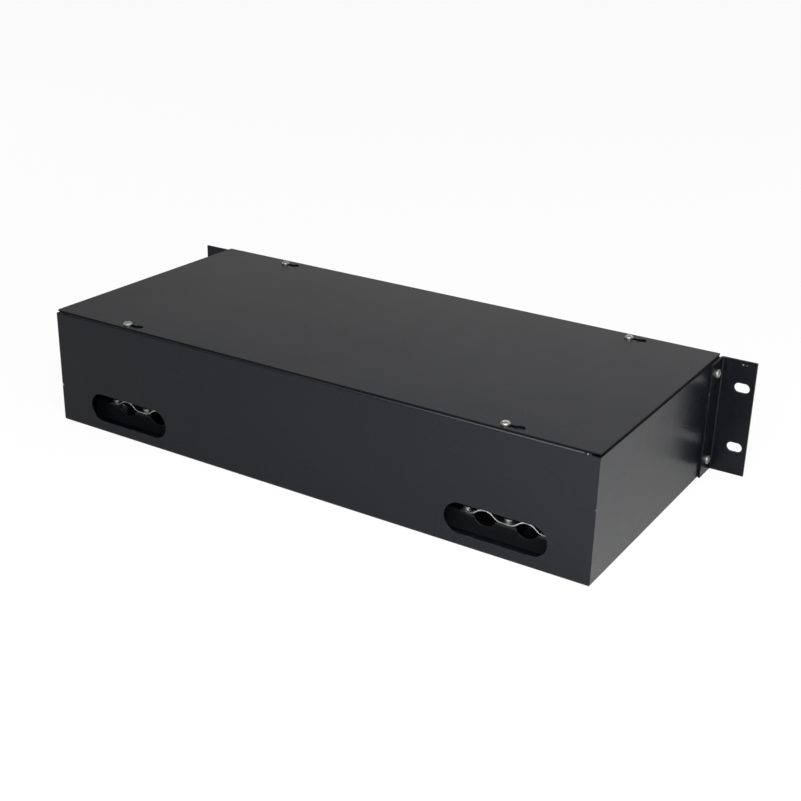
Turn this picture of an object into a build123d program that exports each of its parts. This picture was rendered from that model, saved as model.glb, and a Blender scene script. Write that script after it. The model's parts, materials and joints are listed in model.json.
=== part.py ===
from build123d import *
import math
import os

# Fibre termination box for a 19-inch rack, two units high. Lengths are in millimetres.
# X runs across the rack, Y from the adapters (front, low Y) to the cables (rear, high Y), Z up.
# The origin lies under the middle of the whole box, on the surface that it stands on.

# Clearances
fit_gap = 0.3          # between neighbours that don't touch
seat_gap = 0.05        # between faces that slide on each other
bore_gap = 0.05        # radial, between a shank or pin and its bore

# Cabinet sheet
body_width = 431.0
body_depth = 198.6
base_height = 85.9
sheet = 1.2
bend_radius = 1.8      # outside of a fold
side_lip = 12.0
rear_lip = 14.0
front_return = 14.0
front_lip = 10.0
relief_width = 6.0     # notch where two top folds meet
relief_drop = 1.2

# Cable entries in the rear wall
entry_length = 72.0
entry_height = 21.2
entry_inset = 65.0     # from the side of the box to the middle of the entry
entry_rise = 19.0      # from the underside to the middle of the entry

# Top cover and its keyholes
cover_sheet = 1.0
cover_inset = 0.6      # from the outside of the walls
cover_corner = 1.0
cover_shift = 9.4      # how far the keyholes let the cover slide
cover_slot_width = 4.0
cover_hole_radius = 3.7
cover_screw_inset = 64.5
cover_screw_rear = 6.1
cover_screw_front = 8.5

# Pan-head screws and the cover's weld nuts, 3 mm thread
screw_radius = 1.5
head_radius = 3.1
head_height = 2.0
head_round = 1.0
cover_screw_length = 6.0
cover_nut_flats = 5.5
cover_nut_height = 2.4

# Rack ears
ear_sheet = 1.5
ear_reach = 25.8       # past the side of the box
ear_flange = 21.0      # along the side wall
ear_drop = 0.9         # under the top of the side wall
ear_bend = 2.5
ear_slot_length = 11.0
ear_slot_width = 7.0
ear_slot_offset = 17.05
ear_slot_pitch = 44.45
ear_screw_setback = 9.0
ear_screw_low = 10.8
ear_screw_drop = 10.4
ear_screw_length = 9.0
ear_nut_radius = 3.2
ear_nut_length = 4.0

# Adapter panel
panel_sheet = 1.5
panel_flange = 17.0
panel_bend = 2.2
panel_screw_edge = 16.0
panel_screw_length = 6.0
port_pitch = 30.0
row_pitch = 28.0
port_margin = 20.0     # beside the outermost ports, inside the front returns
cutout_gap = 0.25

# Adapters, clips, sleeves and caps
adapter_width = 12.8
adapter_height = 9.3
adapter_length = 27.4
adapter_nose = 9.5     # in front of the flange
flange_width = 22.4
flange_sheet = 2.0
plug_width = 9.4
plug_height = 7.5
port_depth = 11.6
key_width = 2.4
key_length = 6.0
tube_radius = 2.45
tube_length = 13.0
sleeve_radius = 1.6
sleeve_wall = 0.35
sleeve_length = 11.4
sleeve_split = 0.5
clip_sheet = 0.4
clip_depth = 6.0
clip_tongue = 1.6
clip_tongue_width = 4.0
cap_rim = 1.4
cap_rim_width = 12.2
cap_rim_height = 8.9
cap_grip = 5.0
cap_grip_width = 8.6
cap_grip_height = 5.6
cap_round = 0.8
cap_plug = 8.0
cap_wall = 1.0
cap_gap = 0.15         # around the plug in its port

# Cable saddles and wave clamps behind the entries
saddle_setback = 15.0  # from the outside of the rear wall
saddle_sheet = 1.5
saddle_bend = 2.2
saddle_length = 94.0
saddle_foot = 28.0
saddle_tab = 13.0
saddle_top = 15.8
saddle_notch = 16.0
saddle_notch_depth = 5.8
clamp_sheet = 0.8
clamp_width = 11.0
clamp_proud = 0.5      # strip past the saddle, towards the rear wall
clamp_flat = 5.6
clamp_arch = 24.0
clamp_rise = 4.9
clamp_screw_length = 11.0

# Floor studs, nuts, washers and anchors, 4 mm thread
stud_radius = 2.0
nut_flats = 7.0
nut_height = 3.2
saddle_stud_inset = 7.0
saddle_stud_height = 9.0
anchor_setback = 52.0
anchor_height = 16.0
washer_radius = 5.0
washer_sheet = 1.0

# Splice trays
tray_length = 170.0
tray_depth = 100.0
tray_height = 10.0
tray_wall = 1.5
tray_corner = 28.0
ring_offset = 50.0
ring_radius = 26.0
ring_height = 6.5
ring_gap = 9.0
tab_length = 7.0
tab_width = 5.0
tab_sheet = 1.0
wall_tab_offset = 30.0
tray_entry = 9.0
tray_entry_inset = 34.0
lid_sheet = 1.2
standoff_height = 6.0
standoff_flats = 8.0
tray_screw_length = 6.0
comb_length = 30.0
comb_base = 1.2
comb_pitch = 3.4
comb_slots = 12
comb_rib = 1.0
comb_rib_height = 4.6

# Hinges of the upper tray and the lid
hinge_reach = 3.6
hinge_rise = 2.0
hinge_boss = 2.4
hinge_pin = 1.2
hinge_pin_length = 3.5
hinge_post = 5.0
hinge_arm = 3.0
hinge_bite = 0.5       # how far posts and arms sink into their own wall
tray_hinge_x = 45.0
lid_hinge_x = 24.0

# Fibre guides on the floor
guide_width = 18.0
guide_height = 13.0
guide_wall = 1.8
guide_corner = 4.0
guide_mouth = 4.0
guide_depth = 9.0
guide_clear = 28.0     # beside the tray
guide_back = 3.0       # in front of the anchors' washers
guide_pitch = 56.0

# Places worked out from the sizes above
front_reach = panel_sheet + flange_sheet + adapter_nose + seat_gap + cap_rim + cap_grip
rear_y = (body_depth + front_reach) / 2
front_y = rear_y - body_depth
mid_y = (front_y + rear_y) / 2
panel_y = front_y - panel_sheet
panel_drop = panel_bend + fit_gap
adapter_front_y = panel_y - flange_sheet - adapter_nose
adapter_rear_y = adapter_front_y + adapter_length
adapter_mid_y = (adapter_front_y + adapter_rear_y) / 2
side_x = body_width / 2
cover_z = base_height + seat_gap
cover_top = cover_z + cover_sheet
entry_x = side_x - entry_inset
cover_screw_x = side_x - cover_screw_inset
cover_screws_xy = [
    (side * cover_screw_x, y)
    for y in (front_y + cover_screw_front, rear_y - cover_screw_rear)
    for side in (-1, 1)
]
ear_screw_y = front_y + ear_screw_setback
ear_screw_zs = (ear_screw_low, base_height - ear_screw_drop)
panel_screws_xz = [
    (side * (side_x - front_return / 2), z)
    for z in (panel_screw_edge, base_height - panel_screw_edge)
    for side in (-1, 1)
]
port_columns = int((body_width - 2 * (front_return + port_margin)) // port_pitch)
port_xs = [(column - (port_columns - 1) / 2) * port_pitch for column in range(port_columns)]
row_zs = (base_height / 2 + row_pitch / 2, base_height / 2 - row_pitch / 2)
ports_xz = [(x, z) for z in row_zs for x in port_xs]
saddle_y = rear_y - saddle_setback
clamp_y = saddle_y + clamp_proud
clamp_length = 3 * clamp_flat + 2 * clamp_arch
clamp_pitch = clamp_flat + clamp_arch
clamp_screw_y = clamp_y - clamp_width / 2
clamp_z = saddle_top + seat_gap
saddle_stud_x = saddle_length / 2 - saddle_stud_inset
saddle_stud_y = saddle_y - saddle_foot + saddle_stud_inset
anchor_y = rear_y - anchor_setback
tray_mid_y = (adapter_rear_y + rear_y - sheet) / 2
tray_front_y = tray_mid_y - tray_depth / 2
tray_rear_y = tray_mid_y + tray_depth / 2
lower_z = sheet + standoff_height
upper_z = lower_z + tray_height + fit_gap
lid_z = upper_z + tray_height + fit_gap
hinge_y = tray_front_y - hinge_reach
tray_hinge_z = upper_z + hinge_rise
lid_hinge_z = lid_z + lid_sheet / 2
comb_depth = comb_slots * comb_pitch + comb_rib
guide_x = tray_length / 2 + guide_clear
guide_rear_y = anchor_y - washer_radius - guide_back


def facing_front(y):
    """Plane across the box at y, with X to the right, Z up and its normal towards the front."""
    return Plane.XZ.offset(-y)


def save(piece, name):
    """Label a finished piece and write it."""
    piece.part.label = name
    export_step(piece.part, f"parts/{name}.step")


def pan_screws(plane, spots, length):
    """Pan-head screws standing on a plane: heads above it, plain shanks below it."""
    with BuildPart() as screws:
        with BuildSketch(plane):
            with Locations(*spots):
                Circle(head_radius)
        extrude(amount=head_height)
        fillet(screws.faces().sort_by(Axis((0, 0, 0), plane.z_dir))[-len(spots):].edges(), head_round)
        with BuildSketch(plane):
            with Locations(*spots):
                Circle(screw_radius)
        extrude(amount=-length)
    return screws


def hex_nuts(height, flats, bore, spots_xyz):
    """Hexagonal nuts or pillars with a through bore, each standing on its own spot."""
    with BuildPart() as nuts:
        for x, y, z in spots_xyz:
            with BuildSketch(Plane.XY.offset(z)):
                with Locations((x, y)):
                    RegularPolygon(flats / 2, 6, major_radius=False)
                    Circle(bore, mode=Mode.SUBTRACT)
            extrude(amount=height)
    return nuts


def studs(spots_xy, height):
    """Plain round studs, flush with the underside of the floor."""
    with BuildPart() as pins:
        with BuildSketch(Plane.XY):
            with Locations(*spots_xy):
                Circle(stud_radius)
        extrude(amount=height)
    return pins


os.makedirs("parts", exist_ok=True)

saddle_studs_xy = [
    (side * entry_x + end * saddle_stud_x, saddle_stud_y) for side in (-1, 1) for end in (-1, 1)
]
anchors_xy = [(side * entry_x, anchor_y) for side in (-1, 1)]
tray_screws_xy = [(side * ring_offset, tray_mid_y) for side in (-1, 1)]

# Hollow of the folded tray, one sheet inside its skin
with BuildPart() as tray_hollow:
    with BuildSketch(Plane.XY.offset(sheet)):
        with Locations((0, mid_y)):
            Rectangle(body_width - 2 * sheet, body_depth - 2 * sheet)
    extrude(amount=base_height - 2 * sheet)
    rear_corners = tray_hollow.edges().filter_by(Axis.Z).group_by(Axis.Y)[-1]
    fillet(tray_hollow.edges() - rear_corners, bend_radius - sheet)

# Base tray: floor, sides, rear wall, top lips and front returns of one folded sheet
with BuildPart() as base_tray:
    with BuildSketch(Plane.XY):
        with Locations((0, mid_y)):
            Rectangle(body_width, body_depth)
    extrude(amount=base_height)
    rear_corners = base_tray.edges().filter_by(Axis.Z).group_by(Axis.Y)[-1]
    fillet(base_tray.edges() - rear_corners, bend_radius)
    add(tray_hollow.part, mode=Mode.SUBTRACT)
    # Opening under the cover, with a lip left along the sides and the rear
    with BuildSketch(Plane.XY.offset(base_height)):
        with Locations((0, front_y)):
            Rectangle(
                body_width - 2 * side_lip,
                body_depth - rear_lip,
                align=(Align.CENTER, Align.MIN),
            )
    extrude(amount=-sheet, mode=Mode.SUBTRACT)
    # Room for the top flange of the adapter panel
    with BuildSketch(Plane.XY.offset(base_height)):
        with Locations((0, front_y)):
            Rectangle(
                body_width - 2 * bend_radius,
                panel_flange,
                align=(Align.CENTER, Align.MIN),
            )
    extrude(amount=-panel_drop, mode=Mode.SUBTRACT)
    # Opening in the front, with returns left at the sides and a low lip on the floor
    with BuildSketch(facing_front(front_y)):
        with Locations((0, front_lip)):
            Rectangle(
                body_width - 2 * front_return,
                base_height - front_lip,
                align=(Align.CENTER, Align.MIN),
            )
    extrude(amount=-bend_radius, mode=Mode.SUBTRACT)
    # Top of the front returns, under the panel's flange
    with BuildSketch(facing_front(front_y)):
        with Locations((0, base_height)):
            Rectangle(
                body_width,
                panel_drop,
                align=(Align.CENTER, Align.MAX),
            )
    extrude(amount=-bend_radius, mode=Mode.SUBTRACT)
    # Notches at the rear corners, where the folds of two lips meet
    with BuildSketch(Plane.XY.offset(base_height)):
        with Locations((-side_x, rear_y), (side_x, rear_y)):
            Rectangle(2 * relief_width, 2 * relief_width)
    extrude(amount=-relief_drop, mode=Mode.SUBTRACT)
    # Cable entries
    with BuildSketch(facing_front(rear_y)):
        with Locations((-entry_x, entry_rise), (entry_x, entry_rise)):
            SlotOverall(entry_length, entry_height)
    extrude(amount=sheet, mode=Mode.SUBTRACT)
    # Holes for the rear cover screws
    with BuildSketch(Plane.XY.offset(base_height)):
        with Locations(*[spot for spot in cover_screws_xy if spot[1] > mid_y]):
            Circle(screw_radius + bore_gap)
    extrude(amount=-sheet, mode=Mode.SUBTRACT)
    # Holes for the ear screws
    with BuildSketch(Plane.YZ.offset(-side_x)):
        with Locations(*[(ear_screw_y, z) for z in ear_screw_zs]):
            Circle(screw_radius + bore_gap)
    extrude(amount=body_width, mode=Mode.SUBTRACT)
    # Tapped holes for the panel screws
    with BuildSketch(facing_front(front_y)):
        with Locations(*panel_screws_xz):
            Circle(screw_radius + bore_gap)
    extrude(amount=-sheet, mode=Mode.SUBTRACT)
    # Holes for the studs and standoffs in the floor
    with BuildSketch(Plane.XY):
        with Locations(*saddle_studs_xy, *anchors_xy, *tray_screws_xy):
            Circle(stud_radius + bore_gap)
    extrude(amount=sheet, mode=Mode.SUBTRACT)
save(base_tray, "base_tray")

# Top cover: flat sheet, its keyholes reaching from each screw towards low X
with BuildPart() as top_cover:
    with BuildSketch(Plane.XY.offset(cover_z)):
        with Locations((0, mid_y - cover_inset / 2)):
            RectangleRounded(body_width - 2 * cover_inset, body_depth - cover_inset, cover_corner)
        with Locations(*[(x - cover_shift / 2, y) for x, y in cover_screws_xy]):
            SlotOverall(cover_shift + cover_slot_width, cover_slot_width, mode=Mode.SUBTRACT)
        with Locations(*[(x - cover_shift, y) for x, y in cover_screws_xy]):
            Circle(cover_hole_radius, mode=Mode.SUBTRACT)
    extrude(amount=cover_sheet)
save(top_cover, "top_cover")

save(pan_screws(Plane.XY.offset(cover_top + seat_gap), cover_screws_xy, cover_screw_length), "cover_screws")

# Weld nuts for the cover screws, under the rear lip and under the panel's flange
save(
    hex_nuts(
        cover_nut_height,
        cover_nut_flats,
        screw_radius + bore_gap,
        [
            (x, y, base_height - (sheet if y > mid_y else panel_sheet) - cover_nut_height)
            for x, y in cover_screws_xy
        ],
    ),
    "cover_nuts",
)

# Adapter panel: front plate with a top flange under the cover
with BuildPart() as adapter_panel:
    with BuildSketch(Plane.YZ.offset(-side_x + fit_gap)):
        with BuildLine():
            FilletPolyline(
                (panel_y, fit_gap),
                (panel_y, base_height),
                (front_y + panel_flange - fit_gap, base_height),
                radius=panel_bend,
            )
            offset(amount=panel_sheet, side=Side.RIGHT)
        make_face()
    extrude(amount=body_width - 2 * fit_gap)
    # Ends of the flange, clear of the folds of the side walls
    with BuildSketch(Plane.XY.offset(base_height)):
        for end in (-1, 1):
            with Locations((end * side_x, panel_y)):
                Rectangle(
                    2 * (bend_radius + fit_gap),
                    2 * (panel_sheet + panel_flange),
                )
    extrude(amount=-panel_drop, mode=Mode.SUBTRACT)
    with BuildSketch(facing_front(panel_y)):
        with Locations(*ports_xz):
            Rectangle(adapter_width + 2 * cutout_gap, adapter_height + 2 * cutout_gap)
        with Locations(*panel_screws_xz):
            Circle(screw_radius + fit_gap)
    extrude(amount=-panel_sheet, mode=Mode.SUBTRACT)
    with BuildSketch(Plane.XY.offset(base_height)):
        with Locations(*[spot for spot in cover_screws_xy if spot[1] < mid_y]):
            Circle(screw_radius + bore_gap)
    extrude(amount=-panel_sheet, mode=Mode.SUBTRACT)
save(adapter_panel, "adapter_panel")

save(pan_screws(facing_front(panel_y), panel_screws_xz, panel_screw_length), "adapter_panel_screws")

# Rack ears: a plate beside the panel and a flange folded back along the side wall
for side, ear_name in ((-1, "rack_ear_left"), (1, "rack_ear_right")):
    with BuildPart() as rack_ear:
        with BuildSketch(Plane.XY.offset(fit_gap)):
            with BuildLine():
                FilletPolyline(
                    (side * side_x, panel_y + ear_flange),
                    (side * side_x, panel_y),
                    (side * (side_x + ear_reach), panel_y),
                    radius=ear_bend,
                )
                offset(amount=ear_sheet, side=Side.LEFT if side > 0 else Side.RIGHT)
            make_face()
        extrude(amount=base_height - ear_drop - fit_gap)
        with BuildSketch(facing_front(panel_y)):
            with Locations((side * (side_x + ear_slot_offset), base_height / 2)):
                with GridLocations(0, ear_slot_pitch, 1, 2):
                    SlotOverall(ear_slot_length, ear_slot_width)
        extrude(amount=-ear_sheet, mode=Mode.SUBTRACT)
        with BuildSketch(Plane.YZ.offset(side * side_x)):
            with Locations(*[(ear_screw_y, z) for z in ear_screw_zs]):
                Circle(screw_radius + fit_gap)
        extrude(amount=side * ear_sheet, mode=Mode.SUBTRACT)
    save(rack_ear, ear_name)

# Screws through the ear flanges, and the nuts pressed into the inside of the walls
ear_screw_sets = []
for side in (-1, 1):
    outside = Plane(origin=(side * (side_x + ear_sheet), 0, 0), x_dir=(0, side, 0), z_dir=(side, 0, 0))
    spots = [(side * ear_screw_y, z) for z in ear_screw_zs]
    ear_screw_sets.append(pan_screws(outside, spots, ear_screw_length).part)
with BuildPart() as ear_screws:
    add(ear_screw_sets)
save(ear_screws, "ear_screws")

with BuildPart() as ear_nuts:
    for side in (-1, 1):
        with BuildSketch(Plane.YZ.offset(side * (side_x - sheet))):
            with Locations(*[(ear_screw_y, z) for z in ear_screw_zs]):
                Circle(ear_nut_radius)
                Circle(screw_radius + bore_gap, mode=Mode.SUBTRACT)
        extrude(amount=-side * ear_nut_length)
save(ear_nuts, "ear_nuts")

# Cable saddles: folded brackets on the floor, notched under each arch of the clamp
for side, saddle_name in ((-1, "cable_saddle_left"), (1, "cable_saddle_right")):
    middle_x = side * entry_x
    arch_xs = [middle_x + end * clamp_pitch / 2 for end in (-1, 1)]
    with BuildPart() as cable_saddle:
        with BuildSketch(Plane.YZ.offset(middle_x - saddle_length / 2)):
            with BuildLine():
                FilletPolyline(
                    (saddle_y - saddle_foot, sheet),
                    (saddle_y, sheet),
                    (saddle_y, saddle_top),
                    (saddle_y - saddle_tab, saddle_top),
                    radius=saddle_bend,
                )
                offset(amount=saddle_sheet, side=Side.LEFT)
            make_face()
        extrude(amount=saddle_length)
        for arch_x in arch_xs:
            with BuildSketch(facing_front(saddle_y)):
                with BuildLine():
                    ThreePointArc(
                        (arch_x - saddle_notch / 2, saddle_top),
                        (arch_x, saddle_top - saddle_notch_depth),
                        (arch_x + saddle_notch / 2, saddle_top),
                    )
                    Line((arch_x + saddle_notch / 2, saddle_top), (arch_x - saddle_notch / 2, saddle_top))
                make_face()
            extrude(amount=saddle_tab, mode=Mode.SUBTRACT)
            # The flange stands only under the flats of the clamp
            with BuildSketch(Plane.XY.offset(saddle_top)):
                with Locations((arch_x, saddle_y - saddle_sheet)):
                    Rectangle(clamp_arch, saddle_tab, align=(Align.CENTER, Align.MAX))
            extrude(amount=-saddle_bend, mode=Mode.SUBTRACT)
        with BuildSketch(Plane.XY.offset(saddle_top)):
            with Locations((middle_x, clamp_screw_y)):
                with GridLocations(clamp_pitch, 0, 3, 1):
                    Circle(screw_radius + bore_gap)
        extrude(amount=-saddle_sheet, mode=Mode.SUBTRACT)
        with BuildSketch(Plane.XY.offset(sheet)):
            with Locations(*[spot for spot in saddle_studs_xy if spot[0] * side > 0]):
                Circle(stud_radius + bore_gap)
        extrude(amount=saddle_sheet, mode=Mode.SUBTRACT)
    save(cable_saddle, saddle_name)

save(studs(saddle_studs_xy, saddle_stud_height), "saddle_studs")
save(
    hex_nuts(
        nut_height,
        nut_flats,
        stud_radius + bore_gap,
        [(x, y, sheet + saddle_sheet) for x, y in saddle_studs_xy],
    ),
    "saddle_nuts",
)

# Wave clamps: flat, arch, flat, arch, flat, each arch of two tangent arcs on either side of its crest
wave_turn = 2 * math.degrees(math.atan2(clamp_rise, clamp_arch / 2))
wave_radius = clamp_arch / 4 / math.sin(math.radians(wave_turn))
for side, clamp_name in ((-1, "cable_clamp_left"), (1, "cable_clamp_right")):
    middle_x = side * entry_x
    with BuildPart() as cable_clamp:
        with BuildSketch(facing_front(clamp_y)):
            with BuildLine():
                reached = Line(
                    (middle_x - clamp_length / 2, clamp_z),
                    (middle_x - clamp_length / 2 + clamp_flat, clamp_z),
                )
                for arch in range(2):
                    for turn in (wave_turn, -2 * wave_turn, wave_turn):
                        reached = JernArc(reached @ 1, reached % 1, wave_radius, turn)
                    reached = Line(reached @ 1, (reached @ 1) + (clamp_flat, 0))
                offset(amount=clamp_sheet, side=Side.LEFT)
            make_face()
        extrude(amount=clamp_width)
        with BuildSketch(Plane.XY.offset(clamp_z)):
            with Locations((middle_x, clamp_screw_y)):
                with GridLocations(clamp_pitch, 0, 3, 1):
                    Circle(screw_radius + fit_gap)
        extrude(amount=clamp_sheet, mode=Mode.SUBTRACT)
    save(cable_clamp, clamp_name)
    flats_xy = [(middle_x + step * clamp_pitch, clamp_screw_y) for step in (-1, 0, 1)]
    clamp_screws = pan_screws(Plane.XY.offset(clamp_z + clamp_sheet), flats_xy, clamp_screw_length)
    save(clamp_screws, clamp_name.replace("cable_clamp", "clamp_screws"))

# Anchors for the strength members: stud, locking nut, two washers and a clamping nut
anchor_nut_z = sheet
anchor_washer_z = anchor_nut_z + nut_height
anchor_washer_step = washer_sheet + seat_gap
anchor_clamp_z = anchor_washer_z + 2 * anchor_washer_step
save(studs(anchors_xy, anchor_height), "anchor_studs")
save(
    hex_nuts(
        nut_height,
        nut_flats,
        stud_radius + bore_gap,
        [(x, y, z) for x, y in anchors_xy for z in (anchor_nut_z, anchor_clamp_z)],
    ),
    "anchor_nuts",
)
with BuildPart() as anchor_washers:
    for step in range(2):
        with BuildSketch(Plane.XY.offset(anchor_washer_z + step * anchor_washer_step)):
            with Locations(*anchors_xy):
                Circle(washer_radius)
                Circle(stud_radius + bore_gap, mode=Mode.SUBTRACT)
        extrude(amount=washer_sheet)
save(anchor_washers, "anchor_washers")

# Adapters: square sleeves through the panel with a flange, a port at each end and a tube for the sleeve
for row_z, row_name in zip(row_zs, ("adapters_upper", "adapters_lower")):
    spots = [(x, row_z) for x in port_xs]
    key_spots = [(x, row_z + adapter_height / 2) for x in port_xs]
    with BuildPart() as adapters:
        with BuildSketch(facing_front(adapter_front_y)):
            with Locations(*spots):
                Rectangle(adapter_width, adapter_height)
        extrude(amount=-adapter_length)
        with BuildSketch(facing_front(panel_y)):
            with Locations(*spots):
                Rectangle(flange_width, adapter_height)
        extrude(amount=flange_sheet)
        for mouth_y, way in ((adapter_front_y, -1), (adapter_rear_y, 1)):
            with BuildSketch(facing_front(mouth_y)):
                with Locations(*spots):
                    Rectangle(plug_width, plug_height)
            extrude(amount=way * port_depth, mode=Mode.SUBTRACT)
            with BuildSketch(facing_front(mouth_y)):
                with Locations(*key_spots):
                    Rectangle(key_width, adapter_height - plug_height)
            extrude(amount=way * key_length, mode=Mode.SUBTRACT)
        with BuildSketch(facing_front(adapter_mid_y - tube_length / 2)):
            with Locations(*spots):
                Circle(tube_radius)
        extrude(amount=-tube_length)
        with BuildSketch(facing_front(adapter_mid_y - tube_length / 2)):
            with Locations(*spots):
                Circle(sleeve_radius + bore_gap)
        extrude(amount=-tube_length, mode=Mode.SUBTRACT)
    save(adapters, row_name)

# Split alignment sleeves in the middle of the adapters
with BuildPart() as alignment_sleeves:
    with BuildSketch(facing_front(adapter_mid_y - sleeve_length / 2)):
        with Locations(*ports_xz):
            Circle(sleeve_radius)
            Circle(sleeve_radius - sleeve_wall, mode=Mode.SUBTRACT)
        with Locations(*[(x, z + sleeve_radius) for x, z in ports_xz]):
            Rectangle(sleeve_split, sleeve_radius, mode=Mode.SUBTRACT)
    extrude(amount=-sleeve_length)
save(alignment_sleeves, "alignment_sleeves")

# Spring clips over the adapters, their tongues against the back of the panel
clip_y = front_y + seat_gap
clip_inside = adapter_width / 2 + bore_gap
clip_outside = clip_inside + clip_sheet
clip_top = adapter_height / 2 + bore_gap + clip_sheet
with BuildPart() as adapter_clips:
    with BuildSketch(facing_front(clip_y)):
        with Locations(*[(x, z + clip_top) for x, z in ports_xz]):
            Rectangle(2 * clip_outside, clip_top + adapter_height / 2, align=(Align.CENTER, Align.MAX))
        with Locations(*[(x, z + clip_top - clip_sheet) for x, z in ports_xz]):
            Rectangle(
                2 * clip_inside, adapter_height + bore_gap, align=(Align.CENTER, Align.MAX), mode=Mode.SUBTRACT
            )
    extrude(amount=-clip_depth)
    for x, z in ports_xz:
        with BuildSketch(Plane.XY.offset(z - clip_tongue_width / 2)):
            for side in (-1, 1):
                with BuildLine():
                    Polyline(
                        (x + side * clip_outside, clip_y + clip_depth),
                        (x + side * (clip_outside + clip_tongue), clip_y),
                        (x + side * (clip_outside + clip_tongue - clip_sheet), clip_y),
                        (x + side * clip_outside, clip_y + clip_depth - 2 * clip_sheet),
                        close=True,
                    )
                make_face()
        extrude(amount=clip_tongue_width)
save(adapter_clips, "adapter_clips")

# Dust caps: hollow plug in the port, rim against the adapter, grip in front
for number, (x, z) in enumerate(ports_xz, start=1):
    mouth = Plane(origin=(x, adapter_front_y - seat_gap, z), x_dir=(1, 0, 0), z_dir=(0, -1, 0))
    with BuildPart() as dust_cap:
        with BuildSketch(mouth):
            RectangleRounded(cap_rim_width, cap_rim_height, cap_round)
        extrude(amount=cap_rim)
        with BuildSketch(mouth.offset(cap_rim)):
            Rectangle(cap_grip_width, cap_grip_height)
        extrude(amount=cap_grip)
        chamfer(dust_cap.faces().sort_by(Axis.Y)[0].edges(), cap_round)
        with BuildSketch(mouth):
            Rectangle(plug_width - 2 * cap_gap, plug_height - 2 * cap_gap)
            Rectangle(
                plug_width - 2 * (cap_gap + cap_wall),
                plug_height - 2 * (cap_gap + cap_wall),
                mode=Mode.SUBTRACT,
            )
        extrude(amount=-cap_plug)
    save(dust_cap, f"dust_cap_{number:02d}")


def mould_tray(floor_z):
    """Open splice tray: rounded wall, two storage rings, hold-down tabs and two cable mouths."""
    with BuildPart() as tray:
        with BuildSketch(Plane.XY.offset(floor_z)):
            with Locations((0, tray_mid_y)):
                RectangleRounded(tray_length, tray_depth, tray_corner)
        extrude(amount=tray_height)
        with BuildSketch(Plane.XY.offset(floor_z + tray_wall)):
            with Locations((0, tray_mid_y)):
                RectangleRounded(
                    tray_length - 2 * tray_wall, tray_depth - 2 * tray_wall, tray_corner - tray_wall
                )
        extrude(amount=tray_height - tray_wall, mode=Mode.SUBTRACT)
        # Rings that fibre is wound on, each open at two sides
        with BuildSketch(Plane.XY.offset(floor_z + tray_wall)):
            with Locations(*tray_screws_xy):
                Circle(ring_radius)
                Circle(ring_radius - tray_wall, mode=Mode.SUBTRACT)
                Rectangle(2 * ring_radius, ring_gap, mode=Mode.SUBTRACT)
        extrude(amount=ring_height)
        # Tabs that hold the fibre down, on the rings and on the long walls
        with BuildSketch(Plane.XY.offset(floor_z + tray_wall + ring_height)):
            for x, y in tray_screws_xy:
                with Locations((x, y + ring_radius - tray_wall), (x, y - ring_radius + tray_wall)):
                    Rectangle(tab_width, 2 * tab_length)
        extrude(amount=-tab_sheet)
        with BuildSketch(Plane.XY.offset(floor_z + tray_height)):
            with Locations((0, tray_mid_y)):
                with GridLocations(wall_tab_offset, tray_depth - tab_length, 4, 2):
                    Rectangle(tab_width, tab_length)
        extrude(amount=-tab_sheet)
        # Mouths in the rear wall for the fibre tubes
        with BuildSketch(Plane.XY.offset(floor_z + tray_wall)):
            with Locations((0, tray_rear_y)):
                with GridLocations(tray_length - 2 * tray_entry_inset, 0, 2, 1):
                    Rectangle(tray_entry, 2 * tray_wall + fit_gap)
        extrude(amount=tray_height, mode=Mode.SUBTRACT)
        # Screw holes in the middle of the rings
        with BuildSketch(Plane.XY.offset(floor_z)):
            with Locations(*tray_screws_xy):
                Circle(screw_radius + fit_gap)
        extrude(amount=tray_wall, mode=Mode.SUBTRACT)
    return tray


def hinge_posts(spread, axis_z, foot_z, wall_top):
    """Two bored posts in front of a tray's wall, up to an axis along X."""
    with BuildPart() as posts:
        for side in (-1, 1):
            post_plane = Plane.YZ.offset(side * spread - hinge_post / 2)
            with BuildSketch(post_plane):
                with Locations((hinge_y, axis_z)):
                    Circle(hinge_boss)
                    Rectangle(2 * hinge_boss, axis_z - foot_z, align=(Align.CENTER, Align.MAX))
                with Locations((hinge_y, foot_z)):
                    Rectangle(hinge_reach + hinge_bite, wall_top - foot_z, align=(Align.MIN, Align.MIN))
                with Locations((hinge_y, axis_z)):
                    Circle(hinge_pin + bore_gap, mode=Mode.SUBTRACT)
            extrude(amount=hinge_post)
    return posts


def hinge_arms(spread, axis_z, low_z, high_z):
    """Two arms beside a pair of posts, each with a pin that points inwards through its post."""
    with BuildPart() as arms:
        for side in (-1, 1):
            inner_x = side * (spread + hinge_post / 2 + fit_gap)
            with BuildSketch(Plane.YZ.offset(inner_x)):
                with Locations((hinge_y, axis_z)):
                    Circle(hinge_boss)
                with Locations((hinge_y, low_z)):
                    Rectangle(hinge_reach + hinge_bite, high_z - low_z, align=(Align.MIN, Align.MIN))
            extrude(amount=side * hinge_arm)
            with BuildSketch(Plane.YZ.offset(inner_x)):
                with Locations((hinge_y, axis_z)):
                    Circle(hinge_pin)
            extrude(amount=-side * (hinge_pin_length + fit_gap))
    return arms


# Lower tray, fixed, with the posts of the tray hinge
lower_moulding = mould_tray(lower_z)
lower_posts = hinge_posts(tray_hinge_x, tray_hinge_z, lower_z, lower_z + tray_height)
with BuildPart() as splice_tray_lower:
    add([lower_moulding.part, lower_posts.part])
save(splice_tray_lower, "splice_tray_lower")

# Upper tray, which swings up on its front edge and carries the posts of the lid
upper_moulding = mould_tray(upper_z)
upper_arms = hinge_arms(tray_hinge_x, tray_hinge_z, upper_z, tray_hinge_z + hinge_boss)
upper_posts = hinge_posts(lid_hinge_x, lid_hinge_z, upper_z, upper_z + tray_height)
with BuildPart() as splice_tray_upper:
    add([upper_moulding.part, upper_arms.part, upper_posts.part])
save(splice_tray_upper, "splice_tray_upper")

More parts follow.
